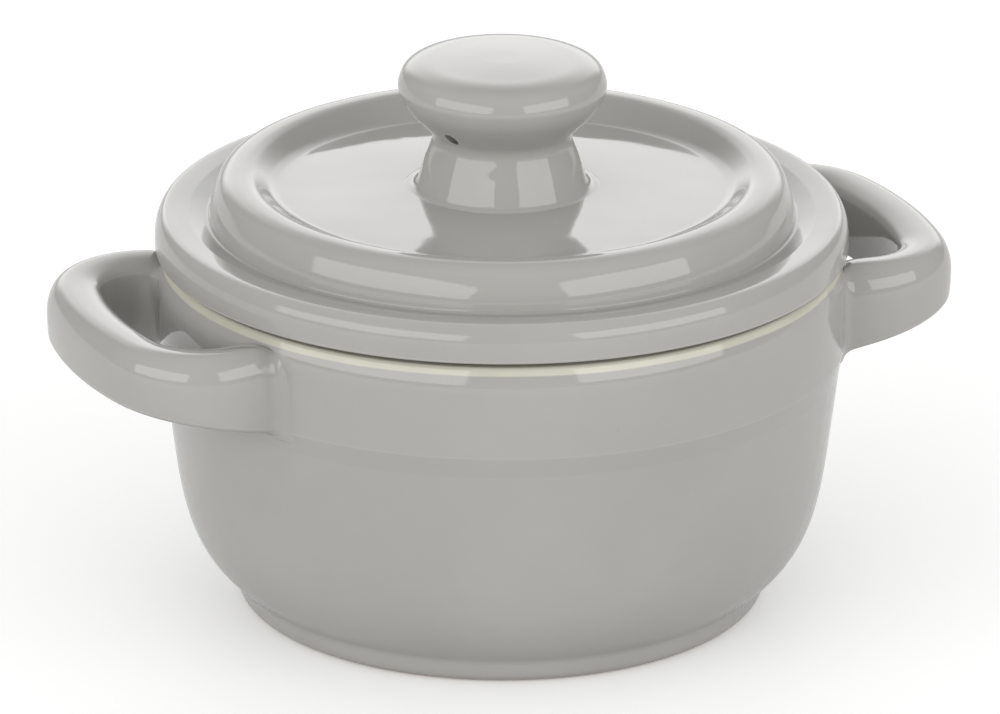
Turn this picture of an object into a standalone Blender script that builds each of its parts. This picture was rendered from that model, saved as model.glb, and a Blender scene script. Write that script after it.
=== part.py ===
"""Mini casserole dish in glazed stoneware: a round pot with two loop handles, and a lid with a vented knob.

Metres, +Z up. The origin is on the table under the middle of the pot, and +X runs along the handles.
The lid lifts straight up, so its empty sits on the pot's axis at the height of the rim.
"""

import math

import bmesh
import bpy
from mathutils import Vector

# Fits
JOINT_GAP = 0.0003  # between two pieces that touch
LID_PLAY = 0.0006  # between the lid's skirt and the pot's mouth, all round

# Pot, outside
POT_HEIGHT = 0.0547  # table to the top of the rim
BAND_RADIUS = 0.0521  # upright band under the rim
BAND_HEIGHT = 0.0140  # rim to the lower end of the band
STEP_HEIGHT = 0.0040  # soft step under the band
STEP_DEPTH = 0.0007
WALL_LEAN = math.radians(7.0)  # lean of the wall under the step
BELLY_HEIGHT = 0.0240  # table to where the belly curve meets the straight wall
BELLY_LEAN = math.radians(60.0)  # lean where the belly leaves the foot
BELLY_PULL_LOW = 0.0065  # reach of the curve's lower and upper handles
BELLY_PULL_HIGH = 0.0106
FOOT_INSET = 0.0118  # band to the foot ring's outer face
FOOT_COVE = 0.0010  # foot ring's outer face to the belly
FOOT_HEIGHT = 0.0041
FOOT_ROUND = 0.0020
FOOT_WIDTH = 0.0060
FOOT_HOLLOW = 0.0018  # depth of the hollow inside the foot ring

# Pot, inside
WALL = 0.0050
FLOOR_THICKNESS = 0.0042
INSIDE_ROUND = 0.0110
LIP_WIDTH = 0.0034  # the lip's outer side is a quarter of an ellipse
LIP_HEIGHT = 0.0047
LIP_ROUND_INNER = 0.0014

# Lid
LID_OVERHANG = 0.0004  # lid's edge past the pot's band
LID_EDGE_HEIGHT = 0.0065  # seat to the top of the flange
LID_EDGE_WIDTH = 0.0022  # the flange's outer side is a quarter of an ellipse
LID_EDGE_DROP = 0.0046
LID_EDGE_ROUND = 0.0009  # lower edge
LID_THICKNESS = 0.0050
SHOULDER_WIDTH = 0.0051  # lid's edge to the flange's inner shoulder
SHOULDER_DROP = 0.0003
SHOULDER_ROUND = 0.0018
CHANNEL_WIDTH = 0.0031  # shoulder to the bottom of the channel round the ring
CHANNEL_DEPTH = 0.0011
CHANNEL_ROUND = 0.0018
RING_RISE = 0.0059  # above the flange
RING_WIDTH = 0.0041
RING_ROUND = 0.0033
RING_SIDE_FALL = 0.0044  # top of the ring to the bend in its outer side
RING_SIDE_DRAFT = 0.0017  # lean of that side above the bend and below it
RING_FOOT_DRAFT = 0.0003
RING_SIDE_ROUND = 0.0080
RECESS_DEPTH = 0.0035  # top of the ring to the edge of the recessed floor
RECESS_DRAFT = 0.0036
RECESS_ROUND = 0.0030
FLOOR_CROWN = 0.0011  # rise of the floor from its edge to its middle
SKIRT_DEPTH = 0.0040  # locating ring under the lid
SKIRT_WIDTH = 0.0036
SKIRT_ROUND = 0.0012
STEAM_BORE_RADIUS = 0.0050  # way for steam through the lid into the knob

# Knob, with heights above the middle of the lid's floor
KNOB_BASE_RADIUS = 0.0131
KNOB_FOOT_SPREAD = 0.0012  # glaze fillet at the foot of the knob
KNOB_FOOT_EDGE = 0.0003
KNOB_NECK_BULGE = 0.0004
KNOB_NECK_ROUND = 0.0200
KNOB_WAIST_RADIUS = 0.0101  # where the neck and the cap's underside cross, before rounding
KNOB_WAIST_HEIGHT = 0.0085
KNOB_WAIST_ROUND = 0.0022
KNOB_UNDER_LEAN = math.radians(45.0)  # the cap's underside is a cone, then a curve up to the cap's side
KNOB_UNDER_WIDTH = 0.0033
KNOB_UNDER_PULL = 0.0020  # reach of that curve's two handles
KNOB_CAP_RADIUS = 0.0155
KNOB_CAP_HEIGHT = 0.0166  # height of the widest place
KNOB_CAP_EDGE_WIDTH = 0.0060  # the cap's upper edge is a quarter of an ellipse
KNOB_CAP_EDGE_RISE = 0.0035
KNOB_CROWN = 0.0003
KNOB_CAVITY_RADIUS = 0.0056
KNOB_TOP_WALL = 0.0052
VENT_RADIUS = 0.0012
VENT_HEIGHT = 0.0102
VENT_ANGLE = math.radians(204.0)  # round the axis from +X

# Handles
HANDLE_REACH = 0.0175  # band to the outer face
HANDLE_WIDTH = 0.0083  # thickness of the bar, seen from above
HANDLE_HEIGHT = 0.0138  # at the wall
HANDLE_DROP = 0.0010  # rim to the top of the handle, at the wall
HANDLE_SPREAD = 0.0212  # half the distance between the roots' middles
HANDLE_FLARE = math.radians(14.0)  # lean of the two arms away from each other
HANDLE_CORNER = 0.0110
HANDLE_TOP_FALL = 0.0002  # how far the top slopes down from the wall to the outer face
HANDLE_UNDER_RISE = 0.0043  # how far the underside slopes up over the same way
HANDLE_DRAFT = 0.0002  # how far the outer face leans in at the bottom
HANDLE_OUTER_WIDTH = 0.0030  # the bar's two upper edges are quarters of ellipses
HANDLE_OUTER_DROP = 0.0075
HANDLE_HOLE_WIDTH = 0.0046
HANDLE_HOLE_DROP = 0.0026
HANDLE_ROUND_UNDER = 0.0014
HANDLE_ROOT_ROUND = 0.0012  # fillet between the bar and the wall
HANDLE_ROOT_ANGLE = math.radians(75.0)  # how far round that fillet goes

# Fineness of the curves
TURN_STEPS = 56
KNOB_STEPS = 36
VENT_STEPS = 16
ARC_STEP = math.radians(30.0)
BELLY_STEPS = 7
EDGE_STEPS = 4
UNDER_STEPS = 4
FLOOR_STEPS = 4
BAR_ARC_STEP = math.radians(7.0)
BAR_ROUND_STEP = math.radians(24.0)
BAR_CORNER_STEP = math.radians(22.0)
ROOT_STEPS = 3
MERGE = 0.00001
SIDE_SHARE = 0.49  # most of a side that one fillet may take
CUT_PAST = 0.0020  # how far a cutter stands out of what it cuts

# Places worked out from the sizes above
MOUTH_RADIUS = BAND_RADIUS - WALL
FOOT_RADIUS = BAND_RADIUS - FOOT_INSET
BAND_BOTTOM = POT_HEIGHT - BAND_HEIGHT
STEP_BOTTOM = BAND_BOTTOM - STEP_HEIGHT
POT_FLOOR = FOOT_HOLLOW + FLOOR_THICKNESS
LID_SEAT = POT_HEIGHT + JOINT_GAP
LID_RADIUS = BAND_RADIUS + LID_OVERHANG
FLANGE_TOP = LID_SEAT + LID_EDGE_HEIGHT
SHOULDER_RADIUS = LID_RADIUS - SHOULDER_WIDTH
RING_FOOT = SHOULDER_RADIUS - CHANNEL_WIDTH
RING_SIDE = RING_FOOT - RING_FOOT_DRAFT
RING_OUTER = RING_SIDE - RING_SIDE_DRAFT
RING_INNER = RING_OUTER - RING_WIDTH
RING_TOP = FLANGE_TOP + RING_RISE
RECESS_RADIUS = RING_INNER - RECESS_DRAFT
RECESS_EDGE = RING_TOP - RECESS_DEPTH
SKIRT_RADIUS = MOUTH_RADIUS - LID_PLAY
HANDLE_TOP = POT_HEIGHT - HANDLE_DROP

# Colour and finish
GREY_GLAZE = (0.40, 0.39, 0.37, 1.0)
GLAZE_ROUGHNESS = 0.12
SHARP_ANGLE = math.radians(40.0)


def clear_scene():
    for old in list(bpy.data.objects):
        bpy.data.objects.remove(old, do_unlink=True)


def glaze(name, colour):
    material = bpy.data.materials.new(name)
    material.use_nodes = True
    shader = material.node_tree.nodes["Principled BSDF"]
    shader.inputs["Base Color"].default_value = colour
    shader.inputs["Roughness"].default_value = GLAZE_ROUGHNESS
    shader.inputs["Metallic"].default_value = 0.0
    return material


def empty(name, height):
    holder = bpy.data.objects.new(name, None)
    holder.location.z = height
    bpy.context.collection.objects.link(holder)
    return holder


def add_object(name, mesh, holder):
    mesh.materials.append(glaze(name + "_glaze", GREY_GLAZE))
    obj = bpy.data.objects.new(name, mesh)
    bpy.context.collection.objects.link(obj)
    obj.parent = holder
    return obj


def arc_points(centre, radius, start, turn, step):
    """Points round an arc from the angle start through the angle turn, both ends included."""
    count = max(2, math.ceil(abs(turn) / step))
    angles = [start + turn * i / count for i in range(count + 1)]
    return [centre + radius * Vector((math.cos(a), math.sin(a))) for a in angles]


def fillet(before, corner, after, radius, step):
    """The corner as an arc tangent to both sides, made smaller where a side is too short for it."""
    back = before - corner
    ahead = after - corner
    half = back.angle(ahead) / 2
    reach = min(radius / math.tan(half), SIDE_SHARE * back.length, SIDE_SHARE * ahead.length)
    radius = reach * math.tan(half)
    if radius < MERGE:
        return [corner]
    centre = corner + (back.normalized() + ahead.normalized()).normalized() * (radius / math.sin(half))
    first = corner + back.normalized() * reach - centre
    last = corner + ahead.normalized() * reach - centre
    start = math.atan2(first.y, first.x)
    turn = (math.atan2(last.y, last.x) - start + math.pi) % math.tau - math.pi
    return arc_points(centre, radius, start, turn, step)


def rounded(corners, closed, step=ARC_STEP):
    """Outline through (radius, height) or (radius, height, fillet) corners."""
    places = [Vector(corner[:2]) for corner in corners]
    outline = []
    for i, corner in enumerate(corners):
        is_end = not closed and i in (0, len(corners) - 1)
        if len(corner) == 2 or is_end:
            outline.append(places[i])
            continue
        after = places[(i + 1) % len(places)]
        outline += fillet(places[i - 1], places[i], after, corner[2], step)
    return outline


def bezier(start, start_handle, end_handle, end, steps):
    points = []
    for i in range(steps + 1):
        t = i / steps
        s = 1 - t
        points.append(s**3 * start + 3 * s * s * t * start_handle + 3 * s * t * t * end_handle + t**3 * end)
    return points


def turned(name, outline, closed, steps, holder):
    """A body of revolution. The outline runs down the body's outer side."""
    base = holder.location.z
    mesh = bpy.data.meshes.new(name)
    count = len(outline)
    edges = [(i, (i + 1) % count) for i in range(count if closed else count - 1)]
    mesh.from_pydata([(p.x, 0.0, p.y - base) for p in outline], edges, [])
    obj = add_object(name, mesh, holder)
    screw = obj.modifiers.new("Turn", "SCREW")
    screw.axis = "Z"
    screw.angle = math.tau
    screw.steps = steps
    screw.render_steps = steps
    screw.use_merge_vertices = True
    screw.merge_threshold = MERGE
    screw.use_smooth_shade = True
    return obj


def belly():
    """The outer curve from the straight wall down to the foot."""
    wall_drop = STEP_BOTTOM - BELLY_HEIGHT
    top = Vector((BAND_RADIUS - STEP_DEPTH - wall_drop * math.tan(WALL_LEAN), BELLY_HEIGHT))
    bottom = Vector((FOOT_RADIUS + FOOT_COVE, FOOT_HEIGHT))
    down = Vector((math.sin(WALL_LEAN), math.cos(WALL_LEAN)))
    out = Vector((math.sin(BELLY_LEAN), math.cos(BELLY_LEAN)))
    return bezier(top, top - BELLY_PULL_HIGH * down, bottom + BELLY_PULL_LOW * out, bottom, BELLY_STEPS)


def round_edge(radius, top, width, drop):
    """The outer side of an edge, a quarter of an ellipse from its flat top down to its upright side."""
    angles = [math.pi / 2 * (1 - i / EDGE_STEPS) for i in range(EDGE_STEPS + 1)]
    return [(radius - width * (1 - math.cos(a)), top - drop * (1 - math.sin(a))) for a in angles]


def pot_outline():
    inner_drop = STEP_BOTTOM - POT_FLOOR
    inner_foot = MOUTH_RADIUS - inner_drop * math.tan(WALL_LEAN)
    foot_inner = FOOT_RADIUS - FOOT_WIDTH
    corners = [
        (0.0, POT_FLOOR),
        (inner_foot, POT_FLOOR, INSIDE_ROUND),
        (MOUTH_RADIUS, STEP_BOTTOM, INSIDE_ROUND),
        (MOUTH_RADIUS, POT_HEIGHT, LIP_ROUND_INNER),
        *round_edge(BAND_RADIUS, POT_HEIGHT, LIP_WIDTH, LIP_HEIGHT),
        (BAND_RADIUS, BAND_BOTTOM, STEP_HEIGHT),
        (BAND_RADIUS - STEP_DEPTH, STEP_BOTTOM, STEP_HEIGHT),
    ]
    corners += [tuple(point) for point in belly()]
    corners += [
        (FOOT_RADIUS, FOOT_HEIGHT - FOOT_COVE / 2, FOOT_COVE / 2),
        (FOOT_RADIUS, 0.0, FOOT_ROUND),
        (foot_inner, 0.0, FOOT_HOLLOW / 2),
        (foot_inner - FOOT_HOLLOW / 2, FOOT_HOLLOW, FOOT_HOLLOW / 2),
        (0.0, FOOT_HOLLOW),
    ]
    return rounded(corners, closed=False)


def floor_height(radius):
    """Height of the lid's crowned floor at a distance from the axis."""
    return RECESS_EDGE + FLOOR_CROWN * (1 - (radius / RECESS_RADIUS) ** 2)


def floor_corners(drop):
    """The crowned floor from the steam bore outwards, lowered by drop."""
    span = RECESS_RADIUS - STEAM_BORE_RADIUS
    radii = [STEAM_BORE_RADIUS + span * i / FLOOR_STEPS for i in range(FLOOR_STEPS)]
    return [(radius, floor_height(radius) - drop) for radius in radii]


def lid_outline():
    skirt_inner = SKIRT_RADIUS - SKIRT_WIDTH
    skirt_bottom = LID_SEAT - SKIRT_DEPTH
    under_edge = RECESS_EDGE - LID_THICKNESS
    corners = floor_corners(0.0)
    corners += [
        (RECESS_RADIUS, RECESS_EDGE, RECESS_ROUND),
        (RING_INNER, RING_TOP, RING_ROUND),
        (RING_OUTER, RING_TOP, RING_ROUND),
        (RING_SIDE, RING_TOP - RING_SIDE_FALL, RING_SIDE_ROUND),
        (RING_FOOT, FLANGE_TOP - CHANNEL_DEPTH, CHANNEL_ROUND),
        (SHOULDER_RADIUS, FLANGE_TOP - SHOULDER_DROP, SHOULDER_ROUND),
        *round_edge(LID_RADIUS, FLANGE_TOP, LID_EDGE_WIDTH, LID_EDGE_DROP),
        (LID_RADIUS, LID_SEAT, LID_EDGE_ROUND),
        (SKIRT_RADIUS, LID_SEAT, LID_PLAY),
        (SKIRT_RADIUS, skirt_bottom, SKIRT_ROUND),
        (skirt_inner, skirt_bottom, SKIRT_ROUND),
        (skirt_inner - SKIRT_ROUND, under_edge, RECESS_ROUND),
    ]
    corners += reversed(floor_corners(LID_THICKNESS))
    return rounded(corners, closed=True)


def cap_underside(waist):
    """The curve from the cap's side in to the cone that leads down to the waist."""
    side = Vector((KNOB_CAP_RADIUS, floor_height(0.0) + KNOB_CAP_HEIGHT))
    out = Vector((math.sin(KNOB_UNDER_LEAN), math.cos(KNOB_UNDER_LEAN)))
    cone = waist + out * (KNOB_UNDER_WIDTH / out.x)
    down = Vector((0.0, KNOB_UNDER_PULL))
    return bezier(side, side - down, cone + out * KNOB_UNDER_PULL, cone, UNDER_STEPS)


def knob_outline():
    foot_radius = KNOB_BASE_RADIUS + KNOB_FOOT_SPREAD
    floor = floor_height(0.0)
    edge = floor + KNOB_CAP_HEIGHT + KNOB_CAP_EDGE_RISE
    top = edge + KNOB_CROWN
    foot = floor_height(foot_radius) + JOINT_GAP
    base = Vector((KNOB_BASE_RADIUS, foot + KNOB_FOOT_EDGE))
    waist = Vector((KNOB_WAIST_RADIUS, floor + KNOB_WAIST_HEIGHT))
    neck = (base + waist) / 2
    corners = [
        (0.0, top),
        *round_edge(KNOB_CAP_RADIUS, edge, KNOB_CAP_EDGE_WIDTH, KNOB_CAP_EDGE_RISE),
        *[tuple(point) for point in cap_underside(waist)[1:]],
        (waist.x, waist.y, KNOB_WAIST_ROUND),
        (neck.x + KNOB_NECK_BULGE, neck.y, KNOB_NECK_ROUND),
        (base.x, base.y, KNOB_FOOT_SPREAD),
        (foot_radius, base.y),
        (foot_radius, foot),
        (KNOB_CAVITY_RADIUS, floor_height(KNOB_CAVITY_RADIUS) + JOINT_GAP),
        (KNOB_CAVITY_RADIUS, top - KNOB_TOP_WALL, KNOB_CAVITY_RADIUS / 2),
        (0.0, top - KNOB_TOP_WALL),
    ]
    return rounded(corners, closed=False)


def drill_vent(knob):
    """A radial hole from the neck into the knob's hollow."""
    start = KNOB_CAVITY_RADIUS / 2
    end = KNOB_CAP_RADIUS + CUT_PAST
    bm = bmesh.new()
    bmesh.ops.create_cone(
        bm, cap_ends=True, segments=VENT_STEPS, radius1=VENT_RADIUS, radius2=VENT_RADIUS, depth=end - start
    )
    mesh = bpy.data.meshes.new("vent_cutter")
    bm.to_mesh(mesh)
    bm.free()
    cutter = bpy.data.objects.new("vent_cutter", mesh)
    bpy.context.collection.objects.link(cutter)
    reach = (start + end) / 2
    cutter.location = (
        reach * math.cos(VENT_ANGLE),
        reach * math.sin(VENT_ANGLE),
        floor_height(0.0) + VENT_HEIGHT,
    )
    cutter.rotation_euler = (0.0, math.pi / 2, VENT_ANGLE)
    cutter.hide_render = True
    cutter.display_type = "WIRE"
    cut = knob.modifiers.new("Vent", "BOOLEAN")
    cut.operation = "DIFFERENCE"
    cut.solver = "EXACT"
    cut.object = cutter


def bar_section():
    """The bar's section as (outward, height) points, with the outward direction at each point."""
    half = HANDLE_WIDTH / 2
    bottom = HANDLE_TOP - HANDLE_HEIGHT
    outer_edge = round_edge(half, HANDLE_TOP, HANDLE_OUTER_WIDTH, HANDLE_OUTER_DROP)
    hole_edge = round_edge(half, HANDLE_TOP, HANDLE_HOLE_WIDTH, HANDLE_HOLE_DROP)
    corners = [
        *reversed(outer_edge),
        *[(-out, height) for out, height in hole_edge],
        (-half, bottom, HANDLE_ROUND_UNDER),
        (half - HANDLE_DRAFT, bottom, HANDLE_ROUND_UNDER),
    ]
    points = rounded(corners, closed=True, step=BAR_ROUND_STEP)
    section = []
    for i, point in enumerate(points):
        along = points[(i + 1) % len(points)] - points[i - 1]
        section.append((point, Vector((along.y, -along.x)).normalized()))
    return section


def bar_path():
    """Half of the bar's middle line as (place, outward) pairs, from the middle of the front to the arm.

    The front is an arc round the pot's axis. A corner arc joins it to the arm, a straight line that leans.
    """
    front = BAND_RADIUS + HANDLE_REACH - HANDLE_WIDTH / 2
    root = Vector((math.sqrt(BAND_RADIUS**2 - HANDLE_SPREAD**2), HANDLE_SPREAD))
    along = Vector((math.cos(HANDLE_FLARE), math.sin(HANDLE_FLARE)))
    outward = Vector((-math.sin(HANDLE_FLARE), math.cos(HANDLE_FLARE)))
    offset = root - outward * HANDLE_CORNER
    middle = offset.dot(along)
    reach = math.sqrt(middle**2 - offset.length_squared + (front - HANDLE_CORNER) ** 2) - middle
    corner = offset + along * reach
    front_angle = math.atan2(corner.y, corner.x)
    arm_angle = math.pi / 2 + HANDLE_FLARE
    axis = Vector((0.0, 0.0))
    path = [(p, p.normalized()) for p in arc_points(axis, front, 0.0, front_angle, BAR_ARC_STEP)]
    bend = arc_points(corner, HANDLE_CORNER, front_angle, arm_angle - front_angle, BAR_CORNER_STEP)
    path += [(p, (p - corner).normalized()) for p in bend[1:]]
    return path, root, along, outward


def wall_point(start, along, radius):
    """Where a line meets a circle round the pot's axis, on the side that along points to."""
    middle = start.dot(along)
    return start + along * (math.sqrt(middle**2 - start.length_squared + radius**2) - middle)


def tapered(place, height):
    """A point of the bar, moved up or down for the slopes of its top and underside."""
    along = (place.length - BAND_RADIUS) / HANDLE_REACH
    share = (height - HANDLE_TOP) / HANDLE_HEIGHT + 1
    rise = HANDLE_UNDER_RISE * (1 - share) - HANDLE_TOP_FALL * share
    return (place.x, place.y, height + along * rise)


def root_rings(section, root, along, outward):
    """Rings of the fillet from the arm to the wall, each a list of points."""
    rings = []
    wall = BAND_RADIUS + JOINT_GAP
    for i in range(ROOT_STEPS + 1):
        angle = HANDLE_ROOT_ANGLE * i / ROOT_STEPS
        clear = HANDLE_ROOT_ROUND * (1 - math.sin(angle))
        spread = HANDLE_ROOT_ROUND * (1 - math.cos(angle))
        ring = []
        for point, normal in section:
            wide = point + spread * normal
            place = wall_point(root + outward * wide.x, along, wall + clear)
            ring.append(tapered(place, wide.y))
        rings.append(ring)
    return rings


def handle_mesh():
    section = bar_section()
    path, root, along, outward = bar_path()
    half = [[tapered(place + out * p.x, p.y) for p, _ in section] for place, out in path]
    half += root_rings(section, root, along, outward)
    other = [[(x, -y, z) for x, y, z in ring] for ring in reversed(half[1:])]
    rings = other + half
    bm = bmesh.new()
    loops = [[bm.verts.new(point) for point in ring] for ring in rings]
    count = len(section)
    for one, two in zip(loops, loops[1:]):
        for i in range(count):
            j = (i + 1) % count
            bm.faces.new((one[i], one[j], two[j], two[i]))
    cap_height = HANDLE_TOP - HANDLE_HEIGHT / 2
    cap = wall_point(root, along, BAND_RADIUS + JOINT_GAP)
    for loop, side in ((loops[0], -1), (loops[-1], 1)):
        middle = bm.verts.new((cap.x, side * cap.y, cap_height))
        for i in range(count):
            bm.faces.new((loop[i - 1], loop[i], middle))
    bmesh.ops.recalc_face_normals(bm, faces=bm.faces)
    mesh = bpy.data.meshes.new("handle")
    bm.to_mesh(mesh)
    bm.free()
    mesh.shade_smooth()
    mesh.set_sharp_from_angle(angle=SHARP_ANGLE)
    return mesh


def main():
    clear_scene()
    pot = empty("pot_frame", 0.0)
    lid = empty("lid_frame", LID_SEAT)
    turned("pot_bowl", pot_outline(), False, TURN_STEPS, pot)
    add_object("handle_right", handle_mesh(), pot)
    left = add_object("handle_left", handle_mesh(), pot)
    left.rotation_euler.z = math.pi
    turned("lid_plate", lid_outline(), True, TURN_STEPS, lid)
    knob = turned("lid_knob", knob_outline(), False, KNOB_STEPS, lid)
    drill_vent(knob)


main()
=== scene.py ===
"""Mini casserole dish: a glazed stoneware pot with two loop handles and a lid with a vented knob.

Laid out as a Blender add-on. Each piece is modelled by an operator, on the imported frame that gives
its size and place. One more operator sets the floor, the light and the camera.
"""

import math

import bmesh
import bpy
import numpy as np
from bpy.props import FloatProperty, FloatVectorProperty, PointerProperty
from mathutils import Matrix, Vector


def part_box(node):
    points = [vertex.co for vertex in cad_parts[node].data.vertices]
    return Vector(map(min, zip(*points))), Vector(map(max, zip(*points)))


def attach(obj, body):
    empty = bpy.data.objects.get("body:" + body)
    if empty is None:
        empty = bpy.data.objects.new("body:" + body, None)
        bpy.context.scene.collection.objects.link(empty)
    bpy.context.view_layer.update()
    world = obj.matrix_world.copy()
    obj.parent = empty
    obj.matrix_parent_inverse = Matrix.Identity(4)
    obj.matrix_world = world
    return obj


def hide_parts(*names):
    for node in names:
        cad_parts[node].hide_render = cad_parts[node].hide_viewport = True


bl_info = {
    "name": "Mini casserole dish",
    "version": (1, 0, 0),
    "blender": (4, 5, 0),
    "location": "View3D > Sidebar > Casserole",
    "description": "Models a small stoneware casserole dish with its lid, and lights it",
    "category": "Add Mesh",
}

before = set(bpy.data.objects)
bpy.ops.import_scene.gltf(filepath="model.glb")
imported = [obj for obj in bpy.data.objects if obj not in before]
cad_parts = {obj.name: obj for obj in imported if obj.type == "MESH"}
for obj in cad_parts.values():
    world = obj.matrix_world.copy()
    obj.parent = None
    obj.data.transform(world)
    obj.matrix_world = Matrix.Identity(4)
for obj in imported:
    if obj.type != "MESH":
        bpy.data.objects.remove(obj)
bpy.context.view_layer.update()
_, POT_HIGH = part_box("pot_bowl")
LID_LOW, LID_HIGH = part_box("lid_plate")
_, KNOB_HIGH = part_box("lid_knob")
_, HANDLE_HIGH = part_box("handle_right")

# Mesh density
COLUMNS = 64
KNOB_COLUMNS = 48
ROUND_STEPS = 4  # faces across a rounded corner
EDGE_STEPS = 6  # faces over an elliptical edge
CURVE_STEPS = 8  # faces along a curve
SMOOTH_LEVELS = 2
SIDE_SHARE = 0.48  # most of a side that one rounding may take
TOUCH = 0.00002  # two places closer than this are the same
FACES_UP = 0.7  # a face whose normal rises more than this looks up
FACES_DOWN = -0.5  # and one whose normal falls below this looks down
MM_PER_METRE = 1000


def length(name, description, default):
    """A setting in metres."""
    return FloatProperty(
        name=name, description=description, default=default, min=0.0, precision=5, unit="LENGTH"
    )


def slope(name, description, degrees):
    """An angle, given here in degrees."""
    return FloatProperty(name=name, description=description, default=math.radians(degrees), subtype="ANGLE")


def share(name, description, default, most=1.0):
    """A plain number from 0 up."""
    return FloatProperty(
        name=name, description=description, default=default, min=0.0, max=most, precision=4
    )


def colour(name, description, default):
    """A colour without alpha."""
    return FloatVectorProperty(
        name=name, description=description, default=default, size=3, min=0.0, max=1.0, subtype="COLOR"
    )


class PotSizes(bpy.types.PropertyGroup):
    """Sizes of the bowl."""

    radius: length("Radius", "Axis to the upright band", POT_HIGH.x)
    height: length("Height", "Table to the top of the lip", POT_HIGH.z)
    band: length("Band", "Top of the lip to the lower edge of the band", 0.0140)
    wall: length("Wall", "Thickness of the wall at the mouth", 0.0050)
    floor: length("Floor", "Thickness of the floor", 0.0042)
    lean: slope("Lean", "How far the wall under the band leans in", 7.0)
    belly: length("Belly", "Height at which the wall starts to turn in", 0.0240)
    foot_inset: length("Foot inset", "Band to the outside of the foot", 0.0122)
    foot_height: length("Foot height", "Height of the foot ring", 0.0048)
    foot_hollow: length("Foot hollow", "Depth of the hollow inside the foot ring", 0.0018)
    cream_rim: length("Cream rim", "How far the inside glaze comes down over the lip", 0.0012)


class HandleSizes(bpy.types.PropertyGroup):
    """Sizes of the two loop handles."""

    reach: length("Reach", "Axis to the outer face of the handle", HANDLE_HIGH.x)
    top: length("Top", "Table to the top of the handle at the wall", POT_HIGH.z - 0.0010)
    width: length("Width", "Width of the bar seen from above", 0.0083)
    height: length("Height", "Height of the bar at the wall", 0.0138)
    spread: length("Spread", "Half the distance between the middles of the two roots", 0.0212)
    corner: length("Corner", "Radius of the bar's middle line at its corners", 0.0110)
    lean: slope("Lean", "How far the two arms lean away from each other", 14.0)


class LidSizes(bpy.types.PropertyGroup):
    """Sizes of the lid."""

    radius: length("Radius", "Axis to the edge of the lid", LID_HIGH.x)
    seat: length("Seat", "Table to the underside of the flange", POT_HIGH.z + 0.0009)
    edge: length("Edge", "Height of the flange", 0.0059)
    thickness: length("Thickness", "Thickness of the floor", 0.0050)
    shoulder: length("Shoulder", "Width of the flange's top", 0.0051)
    ring_top: length("Ring top", "Table to the crest of the ring", LID_HIGH.z)
    ring_width: length("Ring width", "Width of the ring between its sloping sides", 0.0041)
    recess: length("Recess", "Depth of the floor's edge under the ring", 0.0025)
    crown: length("Crown", "Rise of the floor to the middle", 0.0001)
    floor_lean: slope("Floor lean", "How far the floor sank to one side in the kiln", 2.6)
    skirt_bottom: length("Skirt bottom", "Table to the lowest point of the skirt", LID_LOW.z)
    bore: length("Bore", "Radius of the steam way under the knob", 0.0050)


class KnobSizes(bpy.types.PropertyGroup):
    """Sizes of the knob."""

    top: length("Top", "Table to the top of the knob", KNOB_HIGH.z)
    radius: length("Radius", "Radius of the cap", KNOB_HIGH.x + 0.0003)
    crown: length("Crown", "Rise of the cap's top", 0.0003)
    waist_radius: length("Waist radius", "Radius at the narrowest place", 0.0101)
    waist_height: length("Waist height", "Floor of the lid to the narrowest place", 0.0085)
    base_radius: length("Base radius", "Radius above the fillet at the lid", 0.0131)
    hollow_radius: length("Hollow radius", "Radius of the hollow", 0.0056)
    top_wall: length("Top wall", "Thickness between the hollow and the top", 0.0052)
    vent_radius: length("Vent radius", "Radius of the steam vent", 0.0010)
    vent_height: length("Vent height", "Floor of the lid to the middle of the vent", 0.0106)
    vent_angle: slope("Vent angle", "Direction of the vent, from +X", 209.0)


class GlazeLook(bpy.types.PropertyGroup):
    """Colours and finish of the glazes."""

    grey: colour("Grey", "Outer glaze", (0.385, 0.376, 0.356))
    grey_deep: colour("Deep grey", "Outer glaze where it lies thicker", (0.345, 0.337, 0.318))
    grey_thin: colour("Thin grey", "Outer glaze where it thins over an edge", (0.43, 0.42, 0.395))
    cream: colour("Cream", "Glaze of the inside and the lip", (0.585, 0.57, 0.485))
    cream_deep: colour("Deep cream", "Inside glaze where it lies thicker", (0.51, 0.495, 0.41))
    clay: colour("Clay", "Bare stoneware on the foot ring", (0.47, 0.40, 0.31))
    gloss: share("Roughness", "Roughness of the glaze where it is smoothest", 0.045)


class StudioLook(bpy.types.PropertyGroup):
    """Floor, light and camera."""

    floor: colour("Floor", "Colour of the floor", (0.93, 0.93, 0.925))
    bounce: colour("Bounce", "Colour of the light that the floor throws back", (0.66, 0.66, 0.66))
    glow: colour("Glow", "Light that lifts the floor to white for the camera", (0.20, 0.20, 0.20))
    sky: share("Sky", "Level of the surrounding light", 1.04, 4.0)
    zenith: share("Zenith", "Level straight above, as a share of the horizon", 0.6)
    dim: share("Dim", "Level of what the glaze mirrors beside the lamps", 0.25)
    softbox: share("Softboxes", "Brightness of the two front softboxes", 2.5, 20.0)
    backdrop: share(
        "Backdrop", "Brightness of the white sheet behind the dish, as the glaze mirrors it", 2.3, 20.0
    )
    azimuth: slope("Azimuth", "How far the camera stands to the left of the front", 22.5)
    elevation: slope("Elevation", "Height of the camera above the horizon", 21.8)
    distance: length("Distance", "Camera to the middle of the foot", 1.6)
    lens: FloatProperty(name="Lens", description="Focal length in millimetres", default=376.0, min=1.0)


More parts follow.
